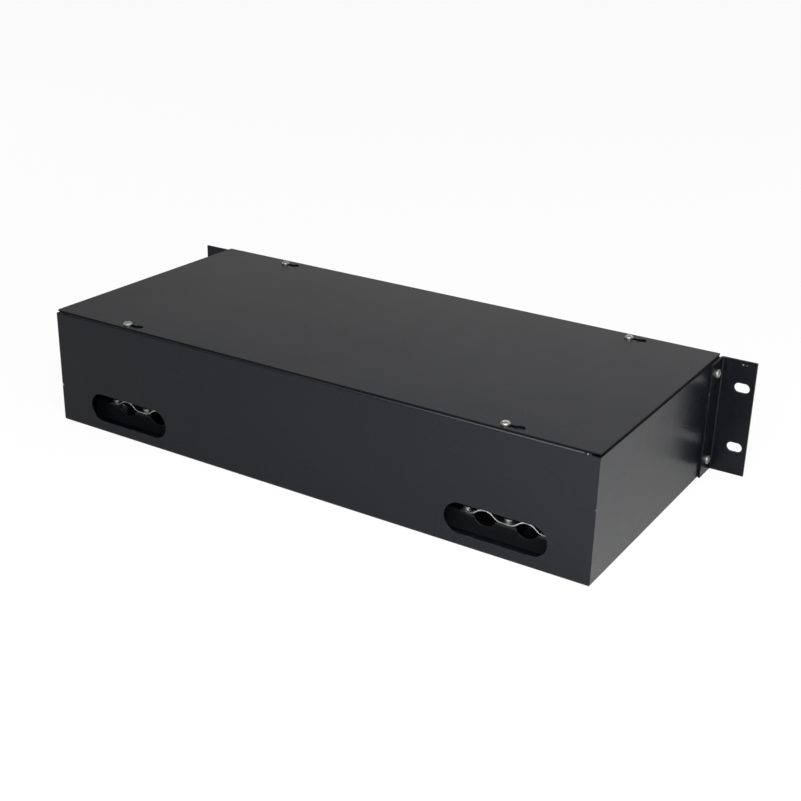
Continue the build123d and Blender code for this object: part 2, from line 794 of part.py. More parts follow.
# Clear lid over the upper tray
lid_arms = hinge_arms(lid_hinge_x, lid_hinge_z, lid_z, lid_z + lid_sheet)
with BuildPart() as splice_tray_lid:
    with BuildSketch(Plane.XY.offset(lid_z)):
        with Locations((0, tray_mid_y)):
            RectangleRounded(tray_length, tray_depth, tray_corner)
    extrude(amount=lid_sheet)
    add(lid_arms.part)
save(splice_tray_lid, "splice_tray_lid")

# Combs that hold the splice protectors, between the rings of each tray
for comb_z, comb_name in ((lower_z, "splice_comb_lower"), (upper_z, "splice_comb_upper")):
    with BuildPart() as splice_comb:
        with BuildSketch(Plane.XY.offset(comb_z + tray_wall)):
            with Locations((0, tray_mid_y)):
                Rectangle(comb_length, comb_depth)
        extrude(amount=comb_base)
        with BuildSketch(Plane.XY.offset(comb_z + tray_wall + comb_base)):
            with Locations((0, tray_mid_y)):
                with GridLocations(0, comb_pitch, 1, comb_slots + 1):
                    Rectangle(comb_length, comb_rib)
        extrude(amount=comb_rib_height)
    save(splice_comb, comb_name)

# Pillars under the lower tray, pressed into the floor, and the screws that hold the tray on them
with BuildPart() as tray_standoffs:
    with BuildSketch(Plane.XY):
        with Locations(*tray_screws_xy):
            Circle(stud_radius)
    extrude(amount=sheet)
    with BuildSketch(Plane.XY.offset(sheet)):
        with Locations(*tray_screws_xy):
            RegularPolygon(standoff_flats / 2, 6, major_radius=False)
    extrude(amount=standoff_height)
    with BuildSketch(Plane.XY.offset(lower_z)):
        with Locations(*tray_screws_xy):
            Circle(screw_radius + bore_gap)
    extrude(amount=-standoff_height, mode=Mode.SUBTRACT)
save(tray_standoffs, "tray_standoffs")

save(pan_screws(Plane.XY.offset(lower_z + tray_wall), tray_screws_xy, tray_screw_length), "tray_screws")

# Fibre guides: rounded hoops on the floor beside the trays, open at the top
with BuildPart() as fibre_guides:
    for y in (guide_rear_y - guide_pitch, guide_rear_y):
        with BuildSketch(facing_front(y)):
            for side in (-1, 1):
                with Locations((side * guide_x, sheet + guide_height / 2)):
                    RectangleRounded(guide_width, guide_height, guide_corner)
                    RectangleRounded(
                        guide_width - 2 * guide_wall,
                        guide_height - 2 * guide_wall,
                        guide_corner - guide_wall,
                        mode=Mode.SUBTRACT,
                    )
                with Locations((side * guide_x, sheet + guide_height)):
                    Rectangle(guide_mouth, 2 * guide_wall + fit_gap, mode=Mode.SUBTRACT)
        extrude(amount=guide_depth)
save(fibre_guides, "fibre_guides")
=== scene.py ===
import json
import math

import bmesh
import bpy
import numpy as np
from mathutils import Matrix, Vector


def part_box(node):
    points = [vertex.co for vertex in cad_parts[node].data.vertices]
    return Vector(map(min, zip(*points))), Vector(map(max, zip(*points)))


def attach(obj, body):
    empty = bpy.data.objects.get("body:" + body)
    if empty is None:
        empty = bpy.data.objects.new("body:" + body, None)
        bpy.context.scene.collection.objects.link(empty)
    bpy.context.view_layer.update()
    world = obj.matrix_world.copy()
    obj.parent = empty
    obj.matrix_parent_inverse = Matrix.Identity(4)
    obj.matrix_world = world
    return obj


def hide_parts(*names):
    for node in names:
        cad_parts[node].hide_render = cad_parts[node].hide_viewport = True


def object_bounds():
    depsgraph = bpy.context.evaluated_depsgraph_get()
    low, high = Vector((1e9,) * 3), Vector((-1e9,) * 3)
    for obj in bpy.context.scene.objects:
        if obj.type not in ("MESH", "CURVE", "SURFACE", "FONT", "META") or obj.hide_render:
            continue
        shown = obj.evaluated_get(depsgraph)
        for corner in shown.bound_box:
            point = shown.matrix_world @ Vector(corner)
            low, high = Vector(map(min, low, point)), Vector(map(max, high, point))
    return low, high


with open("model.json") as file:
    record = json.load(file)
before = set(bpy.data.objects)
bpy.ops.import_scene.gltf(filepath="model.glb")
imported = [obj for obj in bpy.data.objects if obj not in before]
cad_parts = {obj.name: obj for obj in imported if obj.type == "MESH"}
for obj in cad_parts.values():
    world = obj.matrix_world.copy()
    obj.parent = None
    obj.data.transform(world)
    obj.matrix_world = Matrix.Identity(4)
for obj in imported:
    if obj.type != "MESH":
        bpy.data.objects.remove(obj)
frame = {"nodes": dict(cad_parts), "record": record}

# Fibre termination box for a 19-inch rack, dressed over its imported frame. Lengths are in metres.
cad_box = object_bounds()
nodes = frame["nodes"]
MM = 0.001

# Pan-head screws, 3 mm thread
head_radius = 3.1 * MM
head_height = 2.0 * MM
thread_radius = 1.5 * MM
thread_root = 1.22 * MM
thread_pitch = 0.5 * MM
ear_screw_length = 9.0 * MM
first_turn = 0.35      # of the first screw in a set, in radians
next_turn = 0.9        # from each screw to the next

# Print on the adapter panel
port_count = 24
number_height = 4.2 * MM
number_film = 0.04 * MM
number_lift = 7.4 * MM
digit_share = 0.7      # of the type size

# Meshes
merge_reach = 0.001 * MM
sliver_size = 0.0005 * MM
crease_angle = math.radians(35)

# Powder coat: blacks, fresh and worn, and how softly edges are rounded
coat_black = (0.0030, 0.0036, 0.0060, 1)
coat_worn = (0.0042, 0.0048, 0.0075, 1)
# The saddle blacks are paler than the rest of the coat: painted light, brightening the saddles deep inside
# the dark box.
saddle_lit_black = (0.0070, 0.0076, 0.0090, 1)
saddle_lit_worn = (0.0090, 0.0096, 0.0110, 1)
# Near-black dull steel for painted shade: the shadow lines along the cover's cut sides and the tray's side
# folds.
painted_shade_steel = (0.003, 0.003, 0.0035, 1)
folded_edge = 0.5 * MM
sheared_edge = 0.1 * MM

# Folds along the top of the tray, measured from its outside
fold_drop = 1.3 * MM
fold_reach = 2.0 * MM
shine_inset = 10.5 * MM   # from the side to where the rear fold's shine ends

# Chips in the black paint and one painted highlight, at places seen in the photograph: x, y, z, size and
# shade of grey
chips_and_painted_glint = [
    (-0.2315, -0.0896, 0.0822, 0.0008, 0.14),
    (-0.2343, -0.0896, 0.0820, 0.0006, 0.10),
    (-0.2170, -0.0702, 0.0632, 0.0009, 0.06),
    (0.2155, 0.1090, 0.0284, 0.0012, 0.45),
    (-0.2155, 0.1090, 0.0512, 0.0006, 0.12),
    # A painted highlight, not a chip: the glint on the rear fold's bend near the corner.
    (-0.2074, 0.1089, 0.0850, 0.0006, 0.13),
]

# Camera, worked out from the photograph's vanishing lines and the width over the rack ears
camera_place = Vector((-0.470174, 0.734152, 0.396507))
camera_aim = Vector((-0.026779, 0.021846, 0.044307))
camera_roll = math.radians(1.344)
camera_lens = 58.3
camera_sensor = 36.0
camera_near = 0.01
camera_far = 60.0

# Floor and white background
floor_reach = 14.0
floor_drop = 0.2 * MM
floor_grey = (0.9, 0.9, 0.9, 1)
white_level = 1.03
white_seen = 0.9
white_mirrored = 0.06

# Room light
sky_low = 0.05
sky_high = 0.22
sky_back = (-0.25, -0.97, 0.0)
sky_back_gain = 0.54

# Soft lamps: place, spot that they aim at, width, height and power in watts
lamps = {
    "strip": ((0.26, 1.05, 0.85), (-0.1, 0.1, 0.08), 0.5, 1.1, 3.2),
    "near": ((-0.37, 0.44, 0.35), (-0.2, 0.22, 0), 0.42, 0.42, 4.4),
    "low": ((-0.1, 1.5, 0.3), (0, 0.1, 0.02), 0.4, 0.3, 2.2),
    "front": ((-0.9, -1.1, 1.0), (0, -0.1, 0.04), 0.9, 0.7, 4.6),
    "aside": ((1.9, 0.05, 0.5), (0.2, 0, 0.05), 1.2, 0.6, 6.0),
}


# Grids of points

def grid_quads(rows, columns, ring):
    """Quads between neighbouring rows and columns of points numbered row by row; a ring also joins its last
    column to its first."""
    start = np.arange(columns if ring else columns - 1)
    end = (start + 1) % columns
    row = np.arange(rows - 1)[:, None] * columns
    quads = np.stack([row + start, row + end, row + columns + end, row + columns + start], axis=-1)
    return quads.reshape(-1, 4)


def surface(points, ring=False):
    """A grid of points, rows by columns by three, as a surface: flat list of points and its quads."""
    rows, columns, _ = points.shape
    return points.reshape(-1, 3), grid_quads(rows, columns, ring)


def joined(*surfaces):
    """Several surfaces as one, with the quads renumbered."""
    counts = np.cumsum([0] + [len(points) for points, _ in surfaces])
    points = np.concatenate([points for points, _ in surfaces])
    quads = np.concatenate([quads + first for first, (_, quads) in zip(counts, surfaces)])
    return points, quads


def flipped(shape):
    """The same surface with its faces turned over."""
    points, quads = shape
    return points, quads[:, ::-1]


def placed(shape, spot, axes, turn):
    """A surface turned about its own axis, laid along the given axes and moved to its spot."""
    points, quads = shape
    cosine, sine = math.cos(turn), math.sin(turn)
    spun = np.array([[cosine, -sine, 0], [sine, cosine, 0], [0, 0, 1]])
    return points @ spun.T @ np.asarray(axes, float) + np.asarray(spot, float), quads


def eased(amount):
    """Zero below 0, one above 1 and a smooth cubic step between."""
    amount = np.clip(amount, 0, 1)
    return amount * amount * (3 - 2 * amount)


def disc_grid(steps):
    """A square of points bent onto the unit disc: each coordinate is shrunk by the root of one less half
    the square of the other."""
    side = np.linspace(-1, 1, steps)
    u, v = np.meshgrid(side, side, indexing="ij")
    return u * np.sqrt(1 - v ** 2 / 2), v * np.sqrt(1 - u ** 2 / 2)


def disc_rim(steps):
    """Directions of the points along the border of a disc grid, once round."""
    x, y = disc_grid(steps)
    return np.concatenate([
        np.stack([x[:-1, 0], y[:-1, 0]], -1),
        np.stack([x[-1, :-1], y[-1, :-1]], -1),
        np.stack([x[:0:-1, -1], y[:0:-1, -1]], -1),
        np.stack([x[0, :0:-1], y[0, :0:-1]], -1),
    ])


def turned(profile, border):
    """A profile of radius and height carried round the axis through the directions of a border."""
    radius, height = np.asarray(profile, float).T
    flat = radius[:, None, None] * border[None]
    up = np.broadcast_to(height[:, None, None], flat.shape[:2] + (1,))
    return surface(np.concatenate([flat, up], -1), ring=True)


# Pieces

def screw_head():
    """Pan head with its seat at zero. The crown is a disc grid whose height falls with the fifth power of
    the distance from the axis; the recess takes away the deeper of two crossed arms that taper and shallow
    outwards; the side is the rim carried down to the seat. Sizes are shares of the head's radius and
    height."""
    steps = 41
    rim = 0.45
    seat_radius = 0.96
    seat_rise = 0.06
    arm_reach = 0.62
    arm_half_width = 0.17
    arm_taper = 0.1
    arm_depth = 0.55
    arm_shallowing = 0.35
    end_slope = 0.1
    side_slope = 0.07
    x, y = disc_grid(steps)
    crown = rim + (1 - rim) * np.sqrt(np.clip(1 - np.hypot(x, y) ** 5, 0, None))

    def arm(along, across):
        out = np.abs(along)
        reach = eased((arm_reach - out) / end_slope)
        width = eased((arm_half_width - arm_taper * out - np.abs(across)) / side_slope)
        return reach * width * (arm_depth - arm_shallowing * out)

    recess = np.maximum(arm(x, y), arm(y, x))
    top = np.stack([x * head_radius, y * head_radius, (crown - recess) * head_height], -1)
    profile = [
        (thread_root, 0),
        (head_radius * seat_radius, 0),
        (head_radius, seat_rise * head_height),
        (head_radius, rim * head_height),
    ]
    return joined(surface(top), turned(profile, disc_rim(steps)))


def screw_thread(length):
    """Threaded shank below zero: the radius rises from the root to the crest and back once per pitch, and
    the wave climbs one pitch per turn; the last turns run out to a blunt point."""
    steps = 9
    rows_per_pitch = 5
    fewest_rows = 8
    sunk = 0.3 * head_height
    runout_length = 1.5 * thread_pitch
    runout_start = 0.15
    point_share = 0.72
    border = disc_rim(steps)
    angle = np.arctan2(border[:, 1], border[:, 0])
    height = np.linspace(-length, sunk, max(int(length / thread_pitch * rows_per_pitch), fewest_rows))
    climb = (height[:, None] / thread_pitch - angle[None] / (2 * math.pi)) % 1
    crest = 1 - np.abs(2 * climb - 1)
    runout = np.clip((height[:, None] + length) / runout_length, runout_start, 1)
    radius = thread_root + (thread_radius - thread_root) * crest
    radius = radius * (point_share + (1 - point_share) * runout)
    points = np.concatenate([
        radius[..., None] * border[None],
        np.broadcast_to(height[:, None, None], radius.shape + (1,)),
    ], -1)
    point_cap, head_cap = [
        surface(np.stack([row, np.broadcast_to(row.mean(0), row.shape)]), ring=True)
        for row in (points[0], points[-1])
    ]
    return joined(surface(points, ring=True), flipped(point_cap), head_cap)


def screws(spots, axes, length):
    """One screw at each spot, its head towards the last of the axes, each turned on from the one before."""
    screw = joined(screw_head(), screw_thread(length))
    return joined(*[
        placed(screw, spot, axes, first_turn + next_turn * number) for number, spot in enumerate(spots)
    ])


def port_numbers(spots, wall_y):
    """Printed numbers, one centred over each spot of the panel's face: flat text made a mesh and laid on
    the wall as a thin film."""
    points, faces = np.empty((0, 3)), []
    for number, (x, z) in enumerate(spots, 1):
        text = bpy.data.curves.new("number", "FONT")
        text.body = str(number)
        text.size = number_height / digit_share
        text.align_x = "CENTER"
        text.extrude = number_film / 2
        text.resolution_u = 3
        holder = bpy.data.objects.new("number", text)
        flat = bpy.data.meshes.new_from_object(holder)
        corners = np.empty(len(flat.vertices) * 3)
        flat.vertices.foreach_get("co", corners)
        across, up, out = corners.reshape(-1, 3).T
        faces += [[len(points) + corner for corner in face.vertices] for face in flat.polygons]
        film = np.stack([x + across, wall_y - number_film / 2 - out, z + number_lift + up], -1)
        points = np.concatenate([points, film])
        bpy.data.objects.remove(holder)
        bpy.data.meshes.remove(flat)
        bpy.data.curves.remove(text)
    return points, faces


def add_piece(name, points, faces, material, body, slot, stands_for=()):
    """A mesh object at the origin, its place in its points, seams merged, smooth up to the crease angle."""
    mesh = bpy.data.meshes.new(name)
    mesh.from_pydata(np.asarray(points).tolist(), [], [list(map(int, face)) for face in faces])
    work = bmesh.new()
    work.from_mesh(mesh)
    bmesh.ops.remove_doubles(work, verts=work.verts, dist=merge_reach)
    bmesh.ops.dissolve_degenerate(work, edges=work.edges, dist=sliver_size)
    work.to_mesh(mesh)
    work.free()
    mesh.shade_smooth()
    mesh.set_sharp_from_angle(angle=crease_angle)
    mesh.materials.append(material)
    piece = bpy.data.objects.new(name, mesh)
    bpy.context.scene.collection.objects.link(piece)
    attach(piece, body)
    if stands_for:
        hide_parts(*stands_for)


# Shader building

def add_node(tree, kind, inputs=None, **settings):
    """A shader node with its settings; an input is either a value or the socket that feeds it."""
    made = tree.nodes.new("ShaderNode" + kind)
    for name, value in settings.items():
        setattr(made, name, value)
    for name, value in (inputs or {}).items():
        if isinstance(value, bpy.types.NodeSocket):
            tree.links.new(value, made.inputs[name])
        else:
            made.inputs[name].default_value = value
    return made


def math_of(tree, operation, first, second=0.0, clamp=False):
    """Result of a Math node on its values or sockets."""
    return add_node(tree, "Math", {0: first, 1: second}, operation=operation, use_clamp=clamp).outputs[0]


def vector_math_of(tree, operation, first, second):
    """Single value that a Vector Math node makes of two vectors."""
    return add_node(tree, "VectorMath", {0: first, 1: second}, operation=operation).outputs["Value"]


def spread(tree, value, low, high, bottom=0.0, top=1.0):
    """A value mapped smoothly from one range to another and held at its ends."""
    mapped = add_node(
        tree, "MapRange",
        {"Value": value, "From Min": low, "From Max": high, "To Min": bottom, "To Max": top},
        interpolation_type="SMOOTHSTEP",
    )
    return mapped.outputs["Result"]


def mixed(tree, factor, first, second):
    """Two colours mixed by a factor."""
    mix = add_node(tree, "Mix", {0: factor}, data_type="RGBA")
    for index, value in ((6, first), (7, second)):
        if isinstance(value, bpy.types.NodeSocket):
            tree.links.new(value, mix.inputs[index])
        else:
            mix.inputs[index].default_value = value
    return mix.outputs[2]


def noise(tree, place, scale, detail, roughness, stretch=None):
    """Noise at a place, stretched along an axis where that is given."""
    if stretch:
        place = add_node(tree, "Mapping", {"Vector": place, "Scale": stretch}).outputs["Vector"]
    look = {"Vector": place, "Scale": scale, "Detail": detail, "Roughness": roughness}
    return add_node(tree, "TexNoise", look).outputs["Fac"]


def object_place(tree):
    """Object coordinates of the surface."""
    return add_node(tree, "TexCoord").outputs["Object"]


def face_normal(tree):
    """The surface's own normal."""
    return add_node(tree, "NewGeometry").outputs["Normal"]


def facing_up(tree):
    """One for a face that looks up, zero for a wall and minus one for an underside."""
    return add_node(tree, "SeparateXYZ", {0: face_normal(tree)}).outputs["Z"]


def new_group(name, inputs, outputs):
    """An empty node group with value sockets; returns the group and its sockets, inputs then outputs."""
    group = bpy.data.node_groups.new(name, "ShaderNodeTree")
    for title, value in inputs.items():
        socket = group.interface.new_socket(title, in_out="INPUT", socket_type="NodeSocketFloat")
        socket.default_value = value
    for title in outputs:
        group.interface.new_socket(title, in_out="OUTPUT", socket_type="NodeSocketFloat")
    start = group.nodes.new("NodeGroupInput")
    end = group.nodes.new("NodeGroupOutput")
    return group, start.outputs, end.inputs


# Effects that several finishes share

def orange_peel_group():
    """Skin of baked powder: broad soft dimples, fine grain on them and a slow drift of shade."""
    group, given, out = new_group("orange_peel", {"Grain": 900.0}, ("Height", "Drift"))
    place = object_place(group)
    dimples = noise(group, place, given["Grain"], detail=2.0, roughness=0.5)
    fine_grain = math_of(group, "MULTIPLY", given["Grain"], 3.1)
    fine = noise(group, place, fine_grain, detail=2.0, roughness=0.6)
    height = math_of(group, "ADD", dimples, math_of(group, "MULTIPLY", fine, 0.35))
    group.links.new(height, out["Height"])
    group.links.new(noise(group, place, 9.0, detail=3.0, roughness=0.6), out["Drift"])
    return group


def edge_rub_group():
    """Edges: how far a rounded normal leans from the face's own, as a whole band and, broken up by noise,
    as rubbed patches of wear.
    """
    group, given, out = new_group("edge_band", {"Width": 0.6 * MM, "Breakup": 160.0}, ("Edge", "Rubbed"))
    rounded = add_node(group, "Bevel", {"Radius": given["Width"]}, samples=6).outputs["Normal"]
    likeness = vector_math_of(group, "DOT_PRODUCT", rounded, face_normal(group))
    edge = spread(group, math_of(group, "SUBTRACT", 1.0, likeness), low=0.02, high=0.22)
    breakup = noise(group, object_place(group), given["Breakup"], detail=4.0, roughness=0.65)
    patches = spread(group, breakup, low=0.48, high=0.68)
    group.links.new(edge, out["Edge"])
    group.links.new(math_of(group, "MULTIPLY", edge, patches), out["Rubbed"])
    return group


def settled_dust_group():
    """Dust: faces that look up catch it, in drifts and single specks."""
    group, given, out = new_group("settled_dust", {"Speck": 700.0}, ("Film", "Specks"))
    place = object_place(group)
    facing = spread(group, facing_up(group), low=0.3, high=0.95)
    drifts = spread(group, noise(group, place, 16.0, detail=5.0, roughness=0.6), low=0.35, high=0.75)
    grains = noise(group, place, given["Speck"], detail=1.0, roughness=0.4)
    specks = spread(group, grains, low=0.74, high=0.8)
    group.links.new(math_of(group, "MULTIPLY", facing, drifts), out["Film"])
    group.links.new(math_of(group, "MULTIPLY", facing, specks), out["Specks"])
    return group


def hand_marks_group():
    """Handling: dull smudges and short fine scuffs."""
    group, given, out = new_group("hand_marks", {"Size": 22.0}, ("Smudge", "Scuff"))
    place = object_place(group)
    clouds = noise(group, place, given["Size"], detail=4.0, roughness=0.62)
    lines = noise(group, place, 60.0, detail=3.0, roughness=0.7, stretch=(0.6, 7.0, 7.0))
    where = spread(group, noise(group, place, 13.0, detail=2.0, roughness=0.5), low=0.58, high=0.7)
    scuff = math_of(group, "MULTIPLY", spread(group, lines, low=0.66, high=0.72), where)
    group.links.new(spread(group, clouds, low=0.5, high=0.72), out["Smudge"])
    group.links.new(scuff, out["Scuff"])
    return group


def rolled_lines_group():
    """Fine lines left along X by rolling and brushing, with slow bands across them."""
    group, given, out = new_group("rolled_lines", {"Fineness": 1.0}, ("Lines", "Bands"))
    place = object_place(group)
    scale = math_of(group, "MULTIPLY", given["Fineness"], 240.0)
    lines = noise(group, place, scale, detail=3.0, roughness=0.7, stretch=(0.06, 4.0, 4.0))
    group.links.new(lines, out["Lines"])
    group.links.new(noise(group, place, 70.0, detail=3.0, roughness=0.5), out["Bands"])
    return group


def moulded_skin_group():
    """Moulded plastic: an even spark-eroded grain with faint flow clouds."""
    group, given, out = new_group("moulded_skin", {"Grain": 1500.0}, ("Height", "Clouds"))
    place = object_place(group)
    group.links.new(noise(group, place, given["Grain"], detail=2.0, roughness=0.5), out["Height"])
    group.links.new(noise(group, place, 35.0, detail=3.0, roughness=0.55), out["Clouds"])
    return group


def paint_chip_group():
    """A spot of another shade in the paint, for a chip and for one painted highlight: places nearer to its
    spot than its size, with a ragged edge.
    """
    group, given, out = new_group("paint_spot", {"X": 0.0, "Y": 0.0, "Z": 0.0, "Size": 1.0 * MM}, ("Marked",))
    place = object_place(group)
    spot = add_node(group, "CombineXYZ", {title: given[title] for title in "XYZ"}).outputs[0]
    away = math_of(group, "DIVIDE", vector_math_of(group, "DISTANCE", place, spot), given["Size"])
    ragged = math_of(group, "ADD", away, noise(group, place, 1900.0, detail=2.0, roughness=0.6))
    group.links.new(spread(group, ragged, low=1.2, high=1.5, bottom=1.0, top=0.0), out["Marked"])
    return group


def cut_side_group():
    """Sides of a flat sheet: faces that look neither up nor down."""
    group, given, out = new_group("cut_side", {"Start": 0.5}, ("Side",))
    level = math_of(group, "ABSOLUTE", facing_up(group))
    upright = math_of(group, "SUBTRACT", 1.0, level)
    group.links.new(spread(group, upright, low=given["Start"], high=1.0), out["Side"])
    return group


def top_folds_group():
    """Folds along the top of a tray: places above a height and, at the sides, further from the middle than
    a width or, at the rear, further back than a depth and nearer to the middle than an end."""
    sizes_given = {"Height": 0.08, "Width": 0.2, "Depth": 0.1, "End": 0.2, "Blur": 0.3 * MM}
    group, given, out = new_group("top_folds", sizes_given, ("Sides", "Rear"))
    x, y, z = add_node(group, "SeparateXYZ", {0: object_place(group)}).outputs

    def beyond(value, edge):
        past = math_of(group, "SUBTRACT", value, given[edge])
        return spread(group, math_of(group, "DIVIDE", past, given["Blur"]), low=-0.5, high=0.5)

    high = beyond(z, "Height")
    away = math_of(group, "ABSOLUTE", x)
    behind = math_of(group, "MULTIPLY", high, beyond(y, "Depth"))
    between = math_of(group, "SUBTRACT", 1.0, beyond(away, "End"))
    group.links.new(math_of(group, "MULTIPLY", high, beyond(away, "Width")), out["Sides"])
    group.links.new(math_of(group, "MULTIPLY", behind, between), out["Rear"])
    return group


groups = {
    "orange_peel": orange_peel_group(),
    "top_folds": top_folds_group(),
    "cut_side": cut_side_group(),
    "paint_spot": paint_chip_group(),
    "edge_band": edge_rub_group(),
    "settled_dust": settled_dust_group(),
    "hand_marks": hand_marks_group(),
    "rolled_lines": rolled_lines_group(),
    "moulded_skin": moulded_skin_group(),
}


# Finishes

class Finish:
    """A material under work: its node tree, its Principled shader and a short way to place the groups."""

    def __init__(self, name, **sockets):
        self.material = bpy.data.materials.new(name)
        self.material.use_nodes = True
        self.tree = self.material.node_tree
        self.shader = self.tree.nodes["Principled BSDF"]
        for title, value in sockets.items():
            self.shader.inputs[title.replace("_", " ")].default_value = value

    def group(self, name, **values):
        """Places a shared effect with its own values and returns its outputs."""
        made = self.tree.nodes.new("ShaderNodeGroup")
        made.node_tree = groups[name]
        for title, value in values.items():
            made.inputs[title].default_value = value
        return made.outputs

    def mix(self, factor, first, second):
        """Two colours mixed by a factor."""
        return mixed(self.tree, factor, first, second)

    def scaled(self, value, amount):
        """A value times an amount."""
        return math_of(self.tree, "MULTIPLY", value, amount)

    def added(self, first, second):
        """Two values added and held between zero and one."""
        return math_of(self.tree, "ADD", first, second, clamp=True)

    def spread(self, value, low, high, bottom, top):
        """A value mapped smoothly from one range to another."""
        return spread(self.tree, value, low, high, bottom, top)

    def layered(self, colour, *layers):
        """Colours laid over one another, each by its mask times its weight."""
        for mask, weight, shade in layers:
            colour = self.mix(self.scaled(mask, weight), colour, shade)
        return colour

    def feed(self, **sockets):
        """Links sockets to the shader's inputs of those names."""
        for title, socket in sockets.items():
            self.tree.links.new(socket, self.shader.inputs[title.replace("_", " ")])

    def bump(self, height, strength, distance, rounding):
        """Relief on edges rounded by a radius."""
        rounded = add_node(self.tree, "Bevel", {"Radius": rounding}, samples=6).outputs["Normal"]
        relief = {"Height": height, "Strength": strength, "Distance": distance, "Normal": rounded}
        self.feed(Normal=add_node(self.tree, "Bump", relief).outputs["Normal"])


def powder_coat(name, rounding, black=coat_black, worn=coat_worn):
    """Black satin powder coat on steel: orange peel, a painted highlight along the edges with paler rubbed
    patches of wear on them, chips and one painted highlight, a trace of dust and hand marks. Returns the
    finish with its colour and roughness still open."""
    work = Finish(name, Specular_IOR_Level=0.24)
    skin = work.group("orange_peel", Grain=1100.0)
    edge = work.group("edge_band", Width=rounding * 1.4, Breakup=190.0)
    dust = work.group("settled_dust", Speck=520.0)
    marks = work.group("hand_marks", Size=17.0)
    colour = work.layered(
        work.mix(skin["Drift"], black, worn),
        (dust["Film"], 0.02, (0.20, 0.195, 0.185, 1)),
        (dust["Specks"], 0.16, (0.22, 0.21, 0.20, 1)),
        # Paler band along every edge: a painted edge highlight. The rubbed patches of the next layer are
        # wear.
        (edge["Edge"], 0.10, (0.06, 0.06, 0.065, 1)),
        (edge["Rubbed"], 0.22, (0.20, 0.20, 0.21, 1)),
    )
    # Chips, and in the last entry a painted highlight on the rear fold.
    for x, y, z, size, shade in chips_and_painted_glint:
        spot_mask = work.group("paint_spot", X=x, Y=y, Z=z, Size=size)
        colour = work.mix(spot_mask["Marked"], colour, (shade, shade, shade, 1))
    rough = work.spread(skin["Drift"], low=0.3, high=0.7, bottom=0.25, top=0.29)
    rough = work.added(rough, work.scaled(marks["Smudge"], 0.005))
    rough = work.added(rough, work.scaled(marks["Scuff"], 0.03))
    work.bump(skin["Height"], strength=0.10, distance=0.12 * MM, rounding=rounding)
    return work, colour, rough


def burnt(work, colour, rough, shade_amount):
    """Painted shade: dark dull steel in place of the paint's colour and gloss, over a band that stands for
    a shadow line.
    """
    work.feed(Metallic=shade_amount)
    return work.mix(shade_amount, colour, painted_shade_steel), work.added(rough, work.scaled(shade_amount, 0.5))


def plain_coat():
    """The powder coat of the small black pieces."""
    work, colour, rough = powder_coat("powder_coat", folded_edge)
    work.feed(Base_Color=colour, Roughness=rough)
    return work.material


def saddle_coat():
    """The powder coat of the cable saddles, painted paler than the rest to stand for light reaching them
    inside the box.
    """
    work, colour, rough = powder_coat("saddle_coat", folded_edge, saddle_lit_black, saddle_lit_worn)
    work.feed(Base_Color=colour, Roughness=rough)
    return work.material


def cover_coat():
    """The powder coat of the flat cover, with painted shade along its cut sides: dark and dull for the
    shadow line under its edge.
    """
    work, colour, rough = powder_coat("cover_coat", sheared_edge)
    # The cut sides painted dark and dull: painted shade for the shadow gap between the cover and the tray.
    shade_amount = work.scaled(work.group("cut_side", Start=0.5)["Side"], 0.6)
    colour, rough = burnt(work, colour, rough, shade_amount)
    work.feed(Base_Color=colour, Roughness=rough)
    return work.material


def tray_coat():
    """The powder coat of the folded tray: painted shade in the side folds, dark and dull for the shadow
    under the cover's edge, and rubbed to a shine on the rear one."""
    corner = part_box("base_tray")[1]
    work, colour, rough = powder_coat("tray_coat", folded_edge)
    work.shader.inputs["Coat Roughness"].default_value = 0.2
    folds = work.group(
        "top_folds",
        Height=corner.z - fold_drop,
        Width=corner.x - fold_reach,
        Depth=corner.y - fold_reach,
        End=corner.x - shine_inset,
    )
    # Side folds painted nearly black and dull: painted shade, the shadow line under the cover's edge.
    colour, rough = burnt(work, colour, rough, work.scaled(folds["Sides"], 0.95))
    work.feed(Base_Color=colour, Roughness=rough, Coat_Weight=folds["Rear"])
    return work.material


def plated_metal(name, bright, dull, rough, fineness):
    """Plate or drawn metal: fine lines, cloudy bands, darker in handled patches and bright on its edges."""
    work = Finish(name, Metallic=1.0)
    lines = work.group("rolled_lines", Fineness=fineness)
    edge = work.group("edge_band", Width=0.3 * MM, Breakup=260.0)
    marks = work.group("hand_marks", Size=60.0)
    colour = work.layered(
        work.mix(work.spread(lines["Bands"], low=0.35, high=0.7, bottom=0.0, top=1.0), bright, dull),
        (marks["Smudge"], 0.35, dull),
        (edge["Edge"], 0.4, (0.92, 0.93, 0.94, 1)),
    )
    grey = work.spread(lines["Lines"], low=0.3, high=0.7, bottom=rough - 0.05, top=rough + 0.08)
    work.feed(Base_Color=colour, Roughness=work.added(grey, work.scaled(marks["Smudge"], 0.1)))
    work.bump(lines["Lines"], strength=0.12, distance=0.05 * MM, rounding=0.1 * MM)
    return work.material


def moulded_plastic(name, main, paler, rough, grain, depth, **sockets):
    """Moulded plastic: spark-eroded grain, flow clouds, edges a shade paler and a little dust on top."""
    work = Finish(name, **sockets)
    skin = work.group("moulded_skin", Grain=grain)
    edge = work.group("edge_band", Width=0.4 * MM, Breakup=220.0)
    dust = work.group("settled_dust", Speck=900.0)
    colour = work.layered(
        work.mix(work.spread(skin["Clouds"], low=0.3, high=0.7, bottom=0.0, top=0.6), main, paler),
        (edge["Edge"], 0.35, paler),
        (dust["Film"], 0.06, (0.45, 0.43, 0.40, 1)),
    )
    gloss = work.spread(skin["Clouds"], low=0.3, high=0.7, bottom=rough - 0.04, top=rough + 0.05)
    work.feed(Base_Color=colour, Roughness=gloss)
    work.bump(skin["Height"], strength=depth, distance=0.04 * MM, rounding=0.3 * MM)
    return work.material


